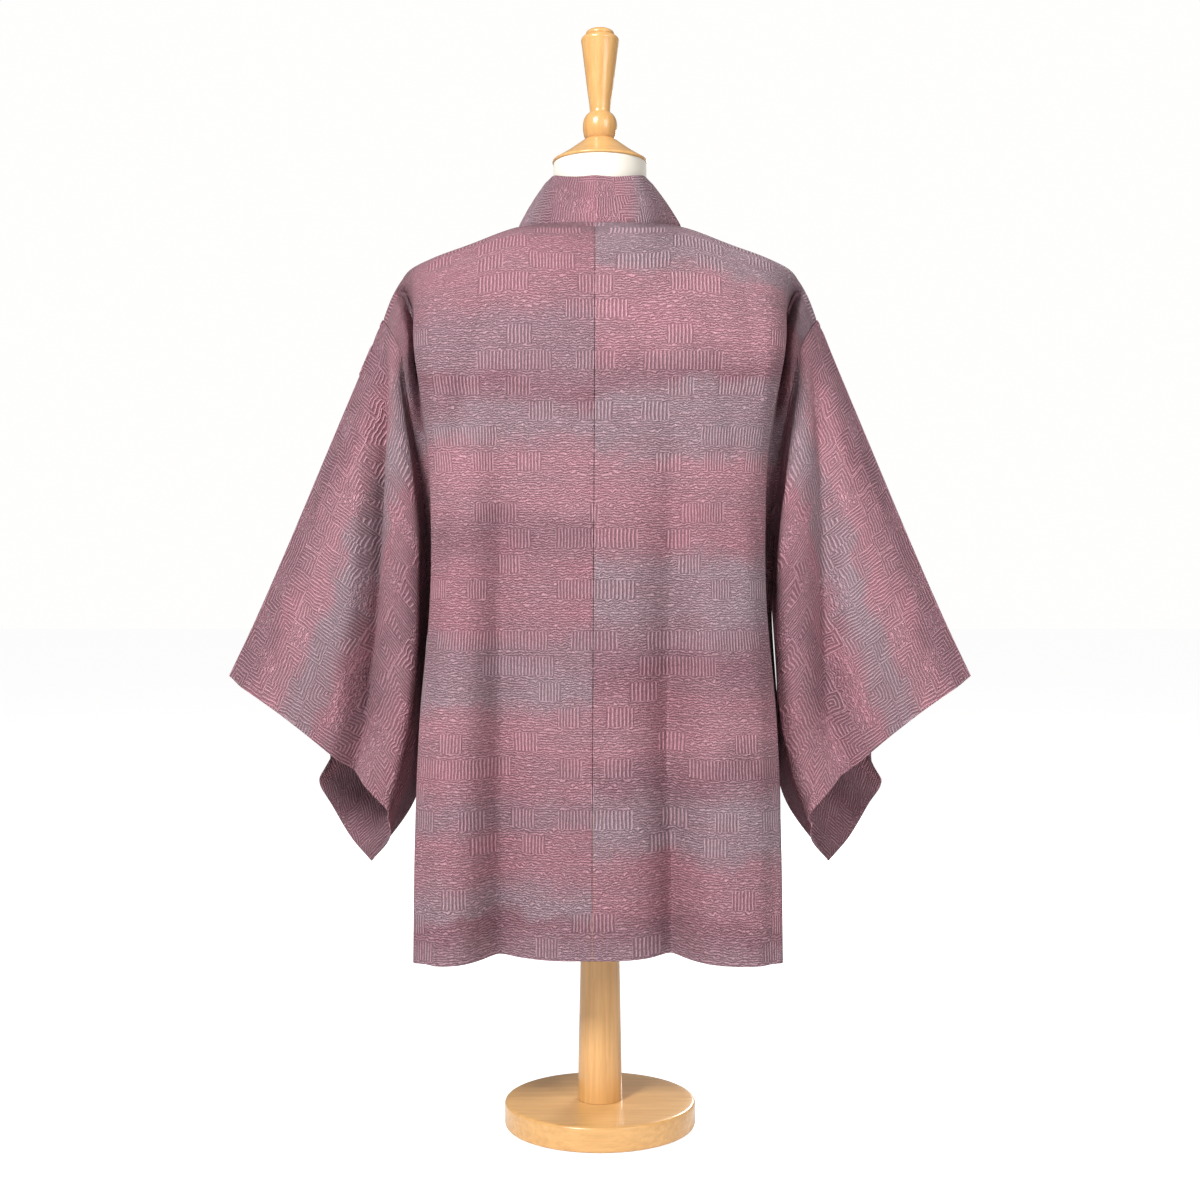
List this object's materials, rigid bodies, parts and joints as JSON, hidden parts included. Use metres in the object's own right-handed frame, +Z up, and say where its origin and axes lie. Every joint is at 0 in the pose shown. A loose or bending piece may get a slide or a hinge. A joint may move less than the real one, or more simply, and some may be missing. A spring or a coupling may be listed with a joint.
{
  "type": "haori jacket on a dress form with a stand",
  "caption": "Open-fronted haori jacket with wide sleeves and a band collar, worn by a limbless dress form on a wooden post and round base.",
  "frame": {"origin": "centre of the base's flat underside", "axes": "+Z up the post, -Y out of the garment's front, +X to the wearer's left"},
  "size_m": [0.7816, 0.2505, 1.1519],
  "materials": {
    "cloth": "woven silk, satin",
    "linen": "plain cloth cover, matt",
    "wood": "clear satin varnish"
  },
  "bodies": {
    "root": {"body_left": "cloth", "body_right": "cloth", "gusset_left": "cloth", "gusset_right": "cloth", "sleeve_left": "cloth", "sleeve_right": "cloth", "collar": "cloth", "dress_form": "linen", "base": "wood", "post": "wood", "neck_cap": "wood", "finial": "wood"}
  },
  "joints": []
}
